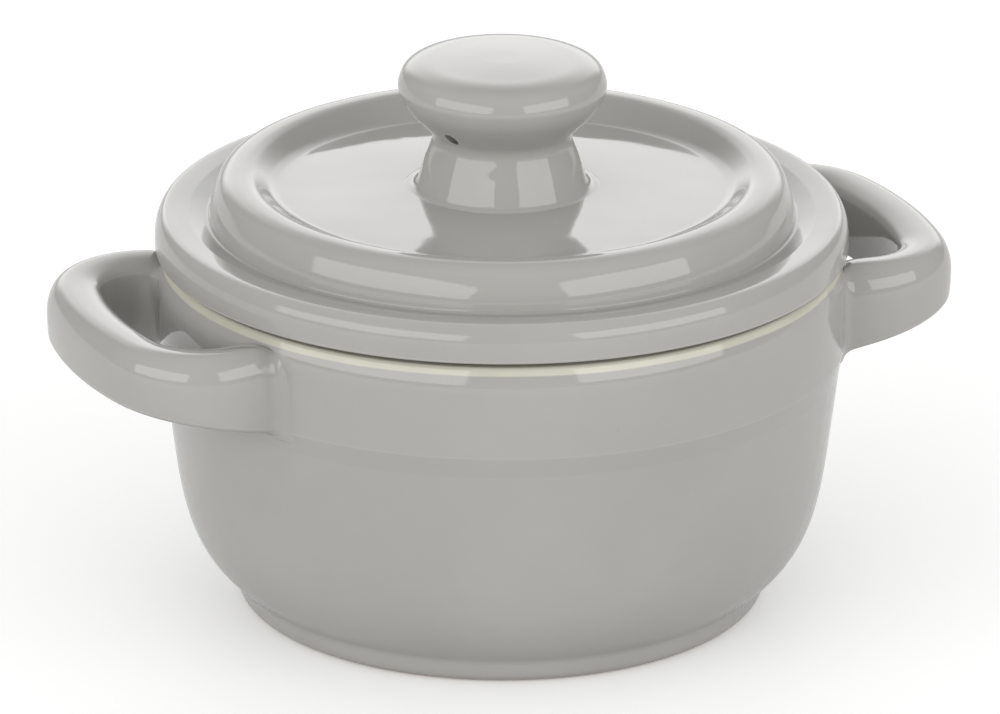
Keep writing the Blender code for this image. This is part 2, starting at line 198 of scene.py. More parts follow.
class CasseroleSettings(bpy.types.PropertyGroup):
    """Everything that can be set before the pieces are made."""

    pot: PointerProperty(type=PotSizes, name="Pot", description="Sizes of the bowl")
    handles: PointerProperty(type=HandleSizes, name="Handles", description="Sizes of the handles")
    lid: PointerProperty(type=LidSizes, name="Lid", description="Sizes of the lid")
    knob: PointerProperty(type=KnobSizes, name="Knob", description="Sizes of the knob")
    glaze: PointerProperty(type=GlazeLook, name="Glaze", description="Colours and finish")
    studio: PointerProperty(type=StudioLook, name="Studio", description="Floor, light and camera")


# Modelling tools shared by the pieces


def select_vertices(wanted):
    """Selects only the vertices that wanted says yes to, and the edges between them."""
    bpy.ops.mesh.select_mode(type="VERT")
    bpy.ops.mesh.select_all(action="DESELECT")
    mesh = bpy.context.edit_object.data
    bm = bmesh.from_edit_mesh(mesh)
    for vertex in bm.verts:
        vertex.select = wanted(vertex.co)
    bm.select_flush(True)
    bmesh.update_edit_mesh(mesh)


def select_rings(*corners):
    """Selects only the rings of edges that lie at these corners of an outline."""
    places = [Vector(corner[:2]) for corner in corners]

    def at_a_corner(point):
        place = Vector((point.xy.length, point.z))
        return any((place - corner).length < TOUCH for corner in places)

    select_vertices(at_a_corner)


def fillet_reach(before, corner, after, radius):
    """How far a rounding of this radius goes along the two sides of a corner."""
    back = Vector(before[:2]) - Vector(corner[:2])
    ahead = Vector(after[:2]) - Vector(corner[:2])
    reach = radius / math.tan(back.angle(ahead) / 2)
    return min(reach, SIDE_SHARE * back.length, SIDE_SHARE * ahead.length)


def turn(name, outline, columns):
    """A turned skin, left in edit mode. A ring of edges is pulled through an outline, then rounded.

    A corner of the outline is (radius, height), or (radius, height, rounding).
    """
    radius, height = outline[0][:2]
    bpy.ops.object.select_all(action="DESELECT")
    bpy.ops.mesh.primitive_circle_add(
        vertices=columns, radius=radius, fill_type="NOTHING", location=(0, 0, 0)
    )
    piece = bpy.context.object
    piece.name = name
    piece.data.name = name
    bpy.ops.object.mode_set(mode="EDIT")
    bpy.ops.mesh.select_all(action="SELECT")
    bpy.ops.transform.translate(value=(0, 0, height))
    for before, after in zip(outline, outline[1:]):
        grow = after[0] / before[0]
        bpy.ops.mesh.extrude_region_move(TRANSFORM_OT_translate={"value": (0, 0, after[1] - before[1])})
        bpy.ops.transform.resize(value=(grow, grow, 1), center_override=(0, 0, after[1]))
    for before, corner, after in zip(outline, outline[1:], outline[2:]):
        if len(corner) < 3:
            continue
        select_rings(corner)
        reach = fillet_reach(before, corner, after, corner[2])
        bpy.ops.mesh.bevel(offset=reach, segments=ROUND_STEPS, affect="EDGES", clamp_overlap=False)
    return piece


def round_edge(radius, top, width, drop):
    """Outer side of an edge, a quarter of an ellipse from its flat top down to its upright side."""
    angles = [math.pi / 2 * (1 - i / EDGE_STEPS) for i in range(EDGE_STEPS + 1)]
    return [(radius - width * (1 - math.cos(a)), top - drop * (1 - math.sin(a))) for a in angles]


def curve(start, start_handle, end_handle, end):
    """Corners along a cubic curve."""
    corners = []
    for i in range(CURVE_STEPS + 1):
        t = i / CURVE_STEPS
        u = 1 - t
        near = u**3 * start + 3 * u * u * t * start_handle
        corners.append(tuple(near + 3 * u * t * t * end_handle + t**3 * end))
    return corners


def close_ring(corner, columns):
    """Fills the ring at one end of an outline with a grid of squares."""
    select_rings(corner)
    bpy.ops.mesh.fill_grid(span=columns // 4)


def apply_modifier(piece, kind, **values):
    """Adds a modifier to a piece, sets it and applies it."""
    bpy.ops.object.modifier_add(type=kind)
    modifier = piece.modifiers[-1]
    for key, value in values.items():
        setattr(modifier, key, value)
    bpy.ops.object.modifier_apply(modifier=modifier.name)


def widen(columns):
    """Makes a turned skin wider by the share that subdividing will draw its rings in."""
    drawn_in = (1 - math.cos(math.tau / columns)) / 3
    wide = 1 / (1 - drawn_in)
    bpy.ops.mesh.select_all(action="SELECT")
    bpy.ops.transform.resize(value=(wide, wide, 1), center_override=(0, 0, 0))


def smooth(piece):
    """Closes the modelling of a piece: faces outwards, subdivided, shaded smooth."""
    bpy.ops.mesh.select_all(action="SELECT")
    bpy.ops.mesh.normals_make_consistent(inside=False)
    bpy.ops.object.mode_set(mode="OBJECT")
    apply_modifier(piece, "SUBSURF", levels=SMOOTH_LEVELS, render_levels=SMOOTH_LEVELS)
    bpy.ops.object.shade_smooth()


def mark_bends(piece):
    """Stores the bend of the skin at each vertex, in 1/mm: above 0 over an edge, below 0 in a hollow."""
    mesh = piece.data
    count = len(mesh.vertices)
    places = np.empty(count * 3)
    normals = np.empty(count * 3)
    edges = np.empty(len(mesh.edges) * 2, dtype=int)
    mesh.vertices.foreach_get("co", places)
    mesh.vertices.foreach_get("normal", normals)
    mesh.edges.foreach_get("vertices", edges)
    places = places.reshape(-1, 3)
    normals = normals.reshape(-1, 3)
    one, two = edges.reshape(-1, 2).T
    along = places[two] - places[one]
    square = np.maximum((along**2).sum(axis=1), TOUCH**2)
    bends = np.zeros(count)
    neighbours = np.zeros(count)
    for start, way in ((one, along), (two, -along)):
        bends += np.bincount(start, -2 * (way * normals[start]).sum(axis=1) / square, count)
        neighbours += np.bincount(start, minlength=count)
    layer = mesh.attributes.new("bend", "FLOAT", "POINT")
    layer.data.foreach_set("value", bends / np.maximum(neighbours, 1) / MM_PER_METRE)


def line_with_cream(piece, cream, inside):
    """Gives a second material to the faces that inside(middle, normal) says yes to."""
    piece.data.materials.append(cream)
    for face in piece.data.polygons:
        if inside(face.center, face.normal):
            face.material_index = 1


def place_piece(piece, body, node):
    """Ties a finished piece to its body, in the place of a node of the frame."""
    mark_bends(piece)
    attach(piece, body)
    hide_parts(node)


# Pot

STEP_HEIGHT = 0.0032  # small slope under the band
STEP_DEPTH = 0.0007
LIP_WIDTH = 0.0010  # slope outside the lip's flat top
LIP_HEIGHT = 0.0032
LIP_ROUND = 0.0014  # inner edge of the flat top
LIP_EDGE_ROUND = 0.0007  # outer edge of the flat top
LIP_BLEND = 0.0080  # from the slope to the upright band
INSIDE_ROUND = 0.0110  # between the floor and the wall, and under the mouth
BELLY_LEAN = math.radians(50.0)  # direction in which the belly meets the foot
BELLY_PULL_LOW = 0.0065  # lengths of the belly curve's two handles
BELLY_PULL_HIGH = 0.0106
FOOT_COVE = 0.0010  # hollow between the belly and the foot
FOOT_FLARE = 0.0008  # how much wider the foot is at its top
FOOT_ROUND = 0.0026
FOOT_WIDTH = 0.0060
FLOOR_MIDDLE = 0.0080  # radius of the patch that closes the floor


def belly_curve(top, bottom, lean):
    """Outer side from the leaning wall down to the foot."""
    high = top - BELLY_PULL_HIGH * Vector((math.sin(lean), math.cos(lean)))
    low = bottom + BELLY_PULL_LOW * Vector((math.sin(BELLY_LEAN), math.cos(BELLY_LEAN)))
    return curve(top, high, low, bottom)


def pot_outline(pot):
    """Corners of the bowl from the middle of its inside, over the lip, to the middle of its underside."""
    mouth = pot.radius - pot.wall
    floor = pot.foot_hollow + pot.floor
    band_bottom = pot.height - pot.band
    step_bottom = band_bottom - STEP_HEIGHT
    foot = pot.radius - pot.foot_inset
    foot_inner = foot - FOOT_WIDTH
    wall_foot = pot.radius - STEP_DEPTH - (step_bottom - pot.belly) * math.tan(pot.lean)
    outline = [
        (FLOOR_MIDDLE, floor),
        (mouth - (step_bottom - floor) * math.tan(pot.lean), floor, INSIDE_ROUND),
        (mouth, step_bottom, INSIDE_ROUND),
        (mouth, pot.height, LIP_ROUND),
        (pot.radius - LIP_WIDTH, pot.height, LIP_EDGE_ROUND),
        (pot.radius, pot.height - LIP_HEIGHT, LIP_BLEND),
        (pot.radius, band_bottom, STEP_HEIGHT / 2),
        (pot.radius - STEP_DEPTH, step_bottom, STEP_HEIGHT / 2),
    ]
    belly_foot = Vector((foot + FOOT_FLARE + FOOT_COVE, pot.foot_height))
    outline += belly_curve(Vector((wall_foot, pot.belly)), belly_foot, pot.lean)
    outline += [
        (foot + FOOT_FLARE, pot.foot_height - FOOT_COVE, 2 * FOOT_COVE),
        (foot, 0.0, FOOT_ROUND),
        (foot_inner, 0.0, pot.foot_hollow / 2),
        (foot_inner - pot.foot_hollow / 2, pot.foot_hollow, pot.foot_hollow / 2),
        (FLOOR_MIDDLE, pot.foot_hollow),
    ]
    return outline


class CASSEROLE_OT_pot(bpy.types.Operator):
    """Turns the bowl, with its foot ring, band and lip"""

    bl_idname = "casserole.pot"
    bl_label = "Pot"

    def execute(self, context):
        settings = context.scene.casserole
        pot = settings.pot
        outline = pot_outline(pot)
        piece = turn("pot_body", outline, COLUMNS)
        close_ring(outline[0], COLUMNS)
        close_ring(outline[-1], COLUMNS)
        widen(COLUMNS)
        smooth(piece)
        piece.data.materials.append(pot_glaze(settings))
        floor = pot.foot_hollow + pot.floor / 2
        lip_top = pot.radius - LIP_WIDTH

        def inside(middle, normal):
            faces_in = middle.xy.dot(normal.xy) < 0
            faces_up = normal.z > FACES_UP and middle.xy.length < lip_top
            return middle.z > floor and (faces_in or faces_up)

        line_with_cream(piece, cream_glaze(settings), inside)
        place_piece(piece, "pot", "pot_bowl")
        return {"FINISHED"}


# Handles

BAR_TOP_FALL = 0.0002  # how far the bar's top slopes down from the wall to its outer face
BAR_UNDER_RISE = 0.0043  # and its underside slopes up
BAR_DRAFT = 0.0002  # how much narrower the bar is at its underside
BAR_OUTER_EDGE = (0.0030, 0.0075)  # width and drop of the upper edge outside
BAR_HOLE_EDGE = (0.0046, 0.0026)  # and at the hole
BAR_ROUND_UNDER = 0.0014
BAR_STEPS = 7  # faces along half of the front
CORNER_STEPS = 7  # and round a corner of the loop
ROOT_ROUND = 0.0016  # fillet between the bar and the wall
ROOT_ANGLE = math.radians(85.0)  # how far round the fillet goes
ROOT_TALL = 0.4  # share of the fillet's width that goes down
ROOT_SINK = 0.00016  # how far the bar's top sinks from one ring of the fillet to the next
ROOT_STEPS = 4
ROOT_DEPTH = 0.0012  # how deep the bar is set into the wall
ROOT_FEATHER = 0.0010  # how far the fillet runs on under the wall's glaze
ROOT_DIP = 0.00015  # and how deep it ends there


def bar_section(handles):
    """The bar's section as a ring of edges, standing across the middle of the loop."""
    half = handles.width / 2
    middle = handles.reach - half
    bottom = handles.top - handles.height
    outer = [(middle + out, height) for out, height in round_edge(half, handles.top, *BAR_OUTER_EDGE)]
    inner = [(middle - out, height) for out, height in round_edge(half, handles.top, *BAR_HOLE_EDGE)]
    outline = [*inner, (middle - half, bottom), (middle + half - BAR_DRAFT, bottom), *reversed(outer)]
    bpy.ops.object.select_all(action="DESELECT")
    bpy.ops.mesh.primitive_plane_add(size=1, location=(0, 0, 0))
    piece = bpy.context.object
    bpy.ops.object.mode_set(mode="EDIT")
    bpy.ops.mesh.select_all(action="SELECT")
    bpy.ops.mesh.merge(type="CENTER")
    bpy.ops.transform.translate(value=(outline[0][0], 0, outline[0][1]))
    for before, after in zip(outline, outline[1:]):
        step = (after[0] - before[0], 0, after[1] - before[1])
        bpy.ops.mesh.extrude_region_move(TRANSFORM_OT_translate={"value": step})
    bpy.ops.mesh.select_all(action="SELECT")
    bpy.ops.mesh.edge_face_add()
    for x in (middle - half, middle + half - BAR_DRAFT):
        select_vertices(lambda point: abs(point.x - x) < TOUCH and abs(point.z - bottom) < TOUCH)
        bpy.ops.mesh.bevel(offset=BAR_ROUND_UNDER, segments=ROUND_STEPS, affect="VERTICES")
    bpy.ops.mesh.select_all(action="SELECT")
    bpy.ops.mesh.delete(type="ONLY_FACE")
    bpy.ops.mesh.select_all(action="SELECT")
    return piece


def circle_place(start, along, radius):
    """Where a line from start along a direction meets a circle round the axis."""
    middle = start.dot(along)
    return start + along * (math.sqrt(middle**2 - start.length_squared + radius**2) - middle)


def bar_route(handles, pot):
    """Half of the loop from above: the corner's middle, the angles where it starts and ends, the arm."""
    front = handles.reach - handles.width / 2
    root = Vector((math.sqrt(pot.radius**2 - handles.spread**2), handles.spread))
    along = Vector((math.cos(handles.lean), math.sin(handles.lean)))
    outward = Vector((-math.sin(handles.lean), math.cos(handles.lean)))
    start = root - outward * handles.corner
    corner = circle_place(start, along, front - handles.corner)
    return corner, math.atan2(corner.y, corner.x), math.pi / 2 + handles.lean, (root, along, outward)


def wall_radius(pot, height):
    """Radius of the pot's outside at a height on the band or the lip."""
    rise = max(height - pot.height + LIP_HEIGHT, 0.0)
    return pot.radius - LIP_WIDTH * rise / LIP_HEIGHT


def seat_ring(handles, pot, arm, spread, clear):
    """Extrudes the open ring of the arm to a distance from the pot's wall: wider, and lower at the top."""
    root, along, outward = arm
    wide = 1 + spread / (handles.width / 2)
    bpy.ops.mesh.extrude_region_move()
    mesh = bpy.context.edit_object.data
    bm = bmesh.from_edit_mesh(mesh)
    ring = [vertex for vertex in bm.verts if vertex.select]
    top = max(vertex.co.z for vertex in ring)
    bottom = min(vertex.co.z for vertex in ring)
    tall = 1 + (spread * ROOT_TALL - ROOT_SINK) / (top - bottom)
    for vertex in ring:
        aside = (vertex.co.xy - root).dot(outward) * wide
        height = top - ROOT_SINK + (vertex.co.z - top) * tall
        place = circle_place(root + outward * aside, along, wall_radius(pot, height) + clear)
        vertex.co = (place.x, place.y, height)
    bmesh.update_edit_mesh(mesh)


def taper_bar(handles, pot):
    """Slopes the bar's top down and its underside up towards the outer face."""
    mesh = bpy.context.edit_object.data
    bm = bmesh.from_edit_mesh(mesh)
    for vertex in bm.verts:
        out = (vertex.co.xy.length - pot.radius) / (handles.reach - pot.radius)
        up = (vertex.co.z - handles.top) / handles.height + 1
        vertex.co.z += out * (BAR_UNDER_RISE * (1 - up) - BAR_TOP_FALL * up)
    bmesh.update_edit_mesh(mesh)


def loop_handle(handles, pot):
    """The right handle: half a loop is spun and pulled to the wall, then mirrored."""
    piece = bar_section(handles)
    corner, front_angle, arm_angle, arm = bar_route(handles, pot)
    up = (0, 0, 1)
    bpy.ops.mesh.spin(steps=BAR_STEPS, angle=-front_angle, center=(0, 0, 0), axis=up)
    bpy.ops.mesh.spin(steps=CORNER_STEPS, angle=front_angle - arm_angle, center=(*corner, 0), axis=up)
    for i in range(ROOT_STEPS + 1):
        angle = ROOT_ANGLE * i / ROOT_STEPS
        clear = ROOT_ROUND * (1 - math.sin(angle))
        spread = ROOT_ROUND * (1 - math.cos(angle))
        before = ROOT_ROUND * (1 - math.cos(ROOT_ANGLE * max(i - 1, 0) / ROOT_STEPS))
        seat_ring(handles, pot, arm, spread - before, clear)
    seat_ring(handles, pot, arm, ROOT_FEATHER, -ROOT_DIP)
    seat_ring(handles, pot, arm, 0.0, -ROOT_DEPTH)
    bpy.ops.mesh.edge_face_add()
    taper_bar(handles, pot)
    bpy.ops.object.mode_set(mode="OBJECT")
    apply_modifier(piece, "MIRROR", use_axis=(False, True, False), use_clip=True, merge_threshold=TOUCH)
    bpy.ops.object.mode_set(mode="EDIT")
    smooth(piece)
    return piece


class CASSEROLE_OT_handles(bpy.types.Operator):
    """Makes the two loop handles"""

    bl_idname = "casserole.handles"
    bl_label = "Handles"

    def execute(self, context):
        settings = context.scene.casserole
        right = loop_handle(settings.handles, settings.pot)
        right.data.materials.append(grey_glaze(settings, "handle_glaze"))
        bpy.ops.object.duplicate()
        left = context.object
        bpy.ops.object.mode_set(mode="EDIT")
        bpy.ops.mesh.select_all(action="SELECT")
        bpy.ops.transform.rotate(value=math.pi, orient_axis="Z", center_override=(0, 0, 0))
        bpy.ops.object.mode_set(mode="OBJECT")
        for piece, name in ((left, "handle_left"), (right, "handle_right")):
            piece.name = "loop_" + name
            piece.data.name = piece.name
            place_piece(piece, "pot", name)
        return {"FINISHED"}


# Lid

EDGE_WIDTH = 0.0019  # the flange's upper edge
EDGE_DROP = 0.0039
EDGE_ROUND = 0.0007  # its lower edge
UNDERCUT_EDGE = 0.0013  # width of the flange's lower edge; inside it the underside is hollowed
UNDERCUT = 0.0008  # depth of that hollow
SHOULDER_DROP = 0.0003  # fall of the flange's top towards the ring
SHOULDER_ROUND = 0.0018
CHANNEL_WIDTH = 0.0031  # groove between the flange's top and the ring
CHANNEL_DEPTH = 0.0011
CHANNEL_ROUND = 0.0006
RING_ROUND = 0.0033
RING_SIDE_FALL = 0.0044  # crest of the ring to the bend in its outer side
RING_SIDE_DRAFT = 0.0017
RING_SIDE_ROUND = 0.0080
RING_FOOT_DRAFT = 0.0003
RECESS_DRAFT = 0.0036  # width of the ring's sloping inner side
RECESS_ROUND = 0.0034
SKIRT_WIDTH = 0.0036
SKIRT_ROUND = 0.0012
SKIRT_PLAY = 0.0006  # room between the skirt and the pot's mouth
LID_FLOOR_STEPS = 8
LEAN_AZIMUTH = math.radians(67.5)  # direction in which the floor sinks, from +X


def lid_radii(lid):
    """Radii of the shoulder, the ring's foot, its side, its outer and inner edge, and the recess."""
    shoulder = lid.radius - lid.shoulder
    ring_foot = shoulder - CHANNEL_WIDTH
    ring_side = ring_foot - RING_FOOT_DRAFT
    ring_outer = ring_side - RING_SIDE_DRAFT
    ring_inner = ring_outer - lid.ring_width
    return shoulder, ring_foot, ring_side, ring_outer, ring_inner, ring_inner - RECESS_DRAFT


def lid_floor(lid, radius):
    """Height of the crowned floor at a distance from the axis."""
    recess = lid_radii(lid)[-1]
    return lid.ring_top - lid.recess + lid.crown * (1 - (radius / recess) ** 2)


def lean_floor(lid):
    """Sinks one side of the floor, above and below, and leaves the ring's crest where it is.

    The floor is level at the far side and takes the full lean at the side that sinks.
    """
    ring_inner, recess = lid_radii(lid)[-2:]
    low = Vector((math.cos(LEAN_AZIMUTH), math.sin(LEAN_AZIMUTH)))
    mesh = bpy.context.edit_object.data
    bm = bmesh.from_edit_mesh(mesh)
    for vertex in bm.verts:
        inside = (ring_inner - vertex.co.xy.length) / (ring_inner - recess)
        aside = vertex.co.xy.dot(low)
        if inside > 0 and vertex.co.z > lid.seat:
            sunk = aside / 2 + aside**2 / (4 * recess)
            vertex.co.z -= min(inside, 1.0) * math.tan(lid.floor_lean) * sunk
    bmesh.update_edit_mesh(mesh)


def lid_outline(lid, pot):
    """Corners of the lid from the steam way over its top and edge, and back along its underside."""
    shoulder, ring_foot, ring_side, ring_outer, ring_inner, recess = lid_radii(lid)
    flange_top = lid.seat + lid.edge
    skirt = pot.radius - pot.wall - SKIRT_PLAY
    skirt_inner = skirt - SKIRT_WIDTH
    edge_floor = lid.ring_top - lid.recess
    radii = [lid.bore + (recess - lid.bore) * i / LID_FLOOR_STEPS for i in range(LID_FLOOR_STEPS)]
    outline = [(radius, lid_floor(lid, radius)) for radius in radii]
    outline += [
        (recess, edge_floor, RECESS_ROUND),
        (ring_inner, lid.ring_top, RING_ROUND),
        (ring_outer, lid.ring_top, RING_ROUND),
        (ring_side, lid.ring_top - RING_SIDE_FALL, RING_SIDE_ROUND),
        (ring_foot, flange_top - CHANNEL_DEPTH, CHANNEL_ROUND),
        (shoulder, flange_top - SHOULDER_DROP, SHOULDER_ROUND),
        *round_edge(lid.radius, flange_top, EDGE_WIDTH, EDGE_DROP),
        (lid.radius, lid.seat, EDGE_ROUND),
        (lid.radius - UNDERCUT_EDGE, lid.seat, UNDERCUT / 2),
        (lid.radius - UNDERCUT_EDGE - UNDERCUT, lid.seat + UNDERCUT, UNDERCUT / 2),
        (skirt, lid.seat + UNDERCUT, SKIRT_PLAY),
        (skirt, lid.skirt_bottom, SKIRT_ROUND),
        (skirt_inner, lid.skirt_bottom, SKIRT_ROUND),
        (skirt_inner - SKIRT_ROUND, edge_floor - lid.thickness, RECESS_ROUND),
    ]
    outline += [(radius, lid_floor(lid, radius) - lid.thickness) for radius in reversed(radii)]
    return outline


class CASSEROLE_OT_lid(bpy.types.Operator):
    """Turns the lid, with its flange, raised ring, crowned floor and skirt"""

    bl_idname = "casserole.lid"
    bl_label = "Lid"

    def execute(self, context):
        settings = context.scene.casserole
        lid = settings.lid
        outline = lid_outline(lid, settings.pot)
        piece = turn("lid_body", outline, COLUMNS)
        select_rings(outline[0], outline[-1])
        bpy.ops.mesh.bridge_edge_loops()
        lean_floor(lid)
        widen(COLUMNS)
        smooth(piece)
        piece.data.materials.append(grey_glaze(settings, "lid_glaze"))
        mouth = settings.pot.radius - settings.pot.wall

        # Cream only inside the mouth: the flange's underside outside it keeps the grey glaze, as painted
        # shade that darkens the gap over the pot's lip
        def under(middle, normal):
            return middle.xy.length < mouth and (normal.z < FACES_DOWN or middle.z < lid.seat)

        line_with_cream(piece, cream_glaze(settings), under)
        place_piece(piece, "lid", "lid_plate")
        return {"FINISHED"}


# Knob

CAP_EDGE_WIDTH = 0.0060  # from the cap's side in to its flat top
CAP_EDGE_RISE = 0.0035  # and up to it
CAP_SIDE_LEAN = math.radians(19.0)  # the cap's side is a cone, then a curve over to its flat top
CAP_SIDE_HEIGHT = 0.0013
CAP_SIDE_PULL = 0.0016
CAP_TOP_PULL = 0.0034
UNDER_LEAN = math.radians(45.0)  # the cap's underside is a cone, then a curve up to the cap's side
UNDER_WIDTH = 0.0033
UNDER_PULL = 0.0020
WAIST_ROUND = 0.0022
NECK_BULGE = 0.0002  # swelling half way between the base and the waist
NECK_ROUND = 0.0200
BASE_SPREAD = 0.0020  # fillet between the knob and the lid
BASE_RISE = 0.0001  # floor to the bottom of that fillet
BASE_DEPTH = 0.0006  # how deep the knob is set into the lid
CROWN_STEPS = 3
CROWN_MIDDLE = 0.0030  # radius of the patch that closes the cap


def cap_underside(waist, side):
    """Curve from the cone above the waist out and up to the side of the cap."""
    out = Vector((math.sin(UNDER_LEAN), math.cos(UNDER_LEAN)))
    cone = waist + out * (UNDER_WIDTH / out.x)
    return curve(cone, cone + out * UNDER_PULL, side - Vector((0.0, UNDER_PULL)), side)


def cap_edge(side, middle):
    """The side of the cap, which leans in, and the curve from it to the edge of the flat top."""
    lean = Vector((-math.sin(CAP_SIDE_LEAN), math.cos(CAP_SIDE_LEAN)))
    bend = side + lean * CAP_SIDE_HEIGHT
    return curve(bend, bend + lean * CAP_SIDE_PULL, middle + Vector((CAP_TOP_PULL, 0.0)), middle)


def knob_outline(knob, lid):
    """Corners of the knob from the top of its hollow, round the foot and the waist, to the cap's middle."""
    foot_radius = knob.base_radius + BASE_SPREAD
    foot = lid_floor(lid, foot_radius)
    hollow_top = knob.top - knob.top_wall
    base = Vector((knob.base_radius, foot + BASE_RISE))
    waist = Vector((knob.waist_radius, lid_floor(lid, 0.0) + knob.waist_height))
    neck = (base + waist) / 2
    edge = knob.top - knob.crown
    side = Vector((knob.radius, edge - CAP_EDGE_RISE))
    cap_middle = knob.radius - CAP_EDGE_WIDTH
    outline = [
        (knob.hollow_radius / 2, hollow_top),
        (knob.hollow_radius, hollow_top, knob.hollow_radius / 2),
        (knob.hollow_radius, lid_floor(lid, knob.hollow_radius) - BASE_DEPTH),
        (foot_radius, foot - BASE_DEPTH),
        (foot_radius, foot),
        (base.x, base.y, BASE_SPREAD),
        (neck.x + NECK_BULGE, neck.y, NECK_ROUND),
        (waist.x, waist.y, WAIST_ROUND),
    ]
    outline += cap_underside(waist, side)
    outline += cap_edge(side, Vector((cap_middle, edge)))
    for i in range(1, CROWN_STEPS + 1):
        radius = cap_middle + (CROWN_MIDDLE - cap_middle) * i / CROWN_STEPS
        outline.append((radius, edge + knob.crown * (1 - (radius / cap_middle) ** 2)))
    return outline


def drill_vent(piece, knob, lid):
    """Cuts the steam vent from the neck into the hollow."""
    start = knob.hollow_radius / 2
    reach = (start + knob.radius) / 2
    bpy.ops.object.select_all(action="DESELECT")
    bpy.ops.mesh.primitive_cylinder_add(
        vertices=KNOB_COLUMNS,
        radius=knob.vent_radius,
        depth=knob.radius - start,
        location=(
            reach * math.cos(knob.vent_angle),
            reach * math.sin(knob.vent_angle),
            lid_floor(lid, 0.0) + knob.vent_height,
        ),
        rotation=(0, math.pi / 2, knob.vent_angle),
    )
    drill = bpy.context.object
    bpy.context.view_layer.objects.active = piece
    apply_modifier(piece, "BOOLEAN", operation="DIFFERENCE", solver="EXACT", object=drill)
    bpy.data.objects.remove(drill)
    bpy.ops.object.select_all(action="DESELECT")
    piece.select_set(True)


class CASSEROLE_OT_knob(bpy.types.Operator):
    """Turns the hollow knob and drills its steam vent"""

    bl_idname = "casserole.knob"
    bl_label = "Knob"

    def execute(self, context):
        settings = context.scene.casserole
        outline = knob_outline(settings.knob, settings.lid)
        piece = turn("knob_body", outline, KNOB_COLUMNS)
        close_ring(outline[0], KNOB_COLUMNS)
        close_ring(outline[-1], KNOB_COLUMNS)
        widen(KNOB_COLUMNS)
        smooth(piece)
        drill_vent(piece, settings.knob, settings.lid)
        piece.data.materials.append(grey_glaze(settings, "knob_glaze"))
        place_piece(piece, "lid", "lid_knob")
        return {"FINISHED"}


# Materials

MIX_COLOURS = (6, 7)  # places of the two colours among the inputs of a mix node
MIX_RESULT = 2  # and of the mixed colour among its outputs


def add_node(tree, kind, inputs=None, **settings):
    """A new node with its settings, and its inputs set to a value or linked to another node's output."""
    made = tree.nodes.new(kind)
    for key, value in settings.items():
        setattr(made, key, value)
    for key, value in (inputs or {}).items():
        socket = made.inputs[key]
        if isinstance(value, bpy.types.NodeSocket):
            tree.links.new(value, socket)
        else:
            socket.default_value = value
    return made


def fade(tree, value, low, high, start=0.0, end=1.0):
    """A value that goes smoothly from start to end while another goes from low to high."""
    inputs = {"Value": value, "From Min": low, "From Max": high, "To Min": start, "To Max": end}
    return add_node(tree, "ShaderNodeMapRange", inputs, interpolation_type="SMOOTHSTEP").outputs["Result"]


def combine(tree, operation, one, two):
    """Two values put together by one step of arithmetic."""
    return add_node(tree, "ShaderNodeMath", {0: one, 1: two}, operation=operation).outputs[0]


def mix_colours(tree, factor, one, two):
    """One colour where the factor is 0, the other where it is 1."""
    made = add_node(tree, "ShaderNodeMix", {"Factor": factor}, data_type="RGBA")
    for place, value in zip(MIX_COLOURS, (one, two)):
        socket = made.inputs[place]
        if isinstance(value, bpy.types.NodeSocket):
            tree.links.new(value, socket)
        else:
            socket.default_value = (*value, 1.0)
    return made.outputs[MIX_RESULT]


def noise(tree, place, scale, detail=2.0):
    """A soft random value at a place."""
    inputs = {"Vector": place, "Scale": scale, "Detail": detail}
    return add_node(tree, "ShaderNodeTexNoise", inputs).outputs["Fac"]


CLOUD_SCALE = 42.0  # slow drift of the colour, a cycle in about 2 cm
CLOUD_DETAIL = 4.0
CLOUD_RANGE = (0.3, 0.7)  # noise between which the clouds come up
RIPPLE_SCALE = 70.0
RIPPLE_DETAIL = 1.0
FINE_SCALE = 420.0
FINE_SHARE = 0.06  # height of the fine ripple, as a share of the broad one
PINHOLE_SCALE = 330.0  # one cell is about 3 mm
PINHOLE_SIZE = 0.045  # of a cell
PINHOLE_SHARE = 0.05  # of the cells


def fired_glaze():
    """Shader group shared by the glazes: clouds in the colour, ripple of the surface, stray pinholes."""
    name = "fired_glaze"
    if name in bpy.data.node_groups:
        return bpy.data.node_groups[name]
    tree = bpy.data.node_groups.new(name, "ShaderNodeTree")
    for output in ("Clouds", "Ripple", "Pinholes"):
        tree.interface.new_socket(output, in_out="OUTPUT", socket_type="NodeSocketFloat")
    place = add_node(tree, "ShaderNodeTexCoord").outputs["Object"]
    clouds = fade(tree, noise(tree, place, CLOUD_SCALE, CLOUD_DETAIL), *CLOUD_RANGE)
    fine = combine(tree, "MULTIPLY", noise(tree, place, FINE_SCALE), FINE_SHARE)
    ripple = combine(tree, "ADD", fine, noise(tree, place, RIPPLE_SCALE, RIPPLE_DETAIL))
    cells = add_node(tree, "ShaderNodeTexVoronoi", {"Vector": place, "Scale": PINHOLE_SCALE})
    pick = add_node(tree, "ShaderNodeSeparateColor", {"Color": cells.outputs["Color"]}).outputs["Red"]
    chosen = combine(tree, "LESS_THAN", pick, PINHOLE_SHARE)
    dot = fade(tree, cells.outputs["Distance"], PINHOLE_SIZE / 2, PINHOLE_SIZE, 1.0, 0.0)
    end = add_node(tree, "NodeGroupOutput")
    tree.links.new(clouds, end.inputs["Clouds"])
    tree.links.new(ripple, end.inputs["Ripple"])
    tree.links.new(combine(tree, "MULTIPLY", chosen, dot), end.inputs["Pinholes"])
    return tree


RIPPLE_DEPTH = 0.00012
CLOUD_DEPTH = 0.5  # how far the clouds go towards the deep colour
ROUGHNESS_SPREAD = 1.7  # roughest place of a glaze, as a multiple of its smoothest
BEND_START = 0.12  # bend, in 1/mm, from which an edge or a hollow shows in the glaze
BEND_FULL = 0.70
PINHOLE_COLOUR = (0.25, 0.24, 0.22)


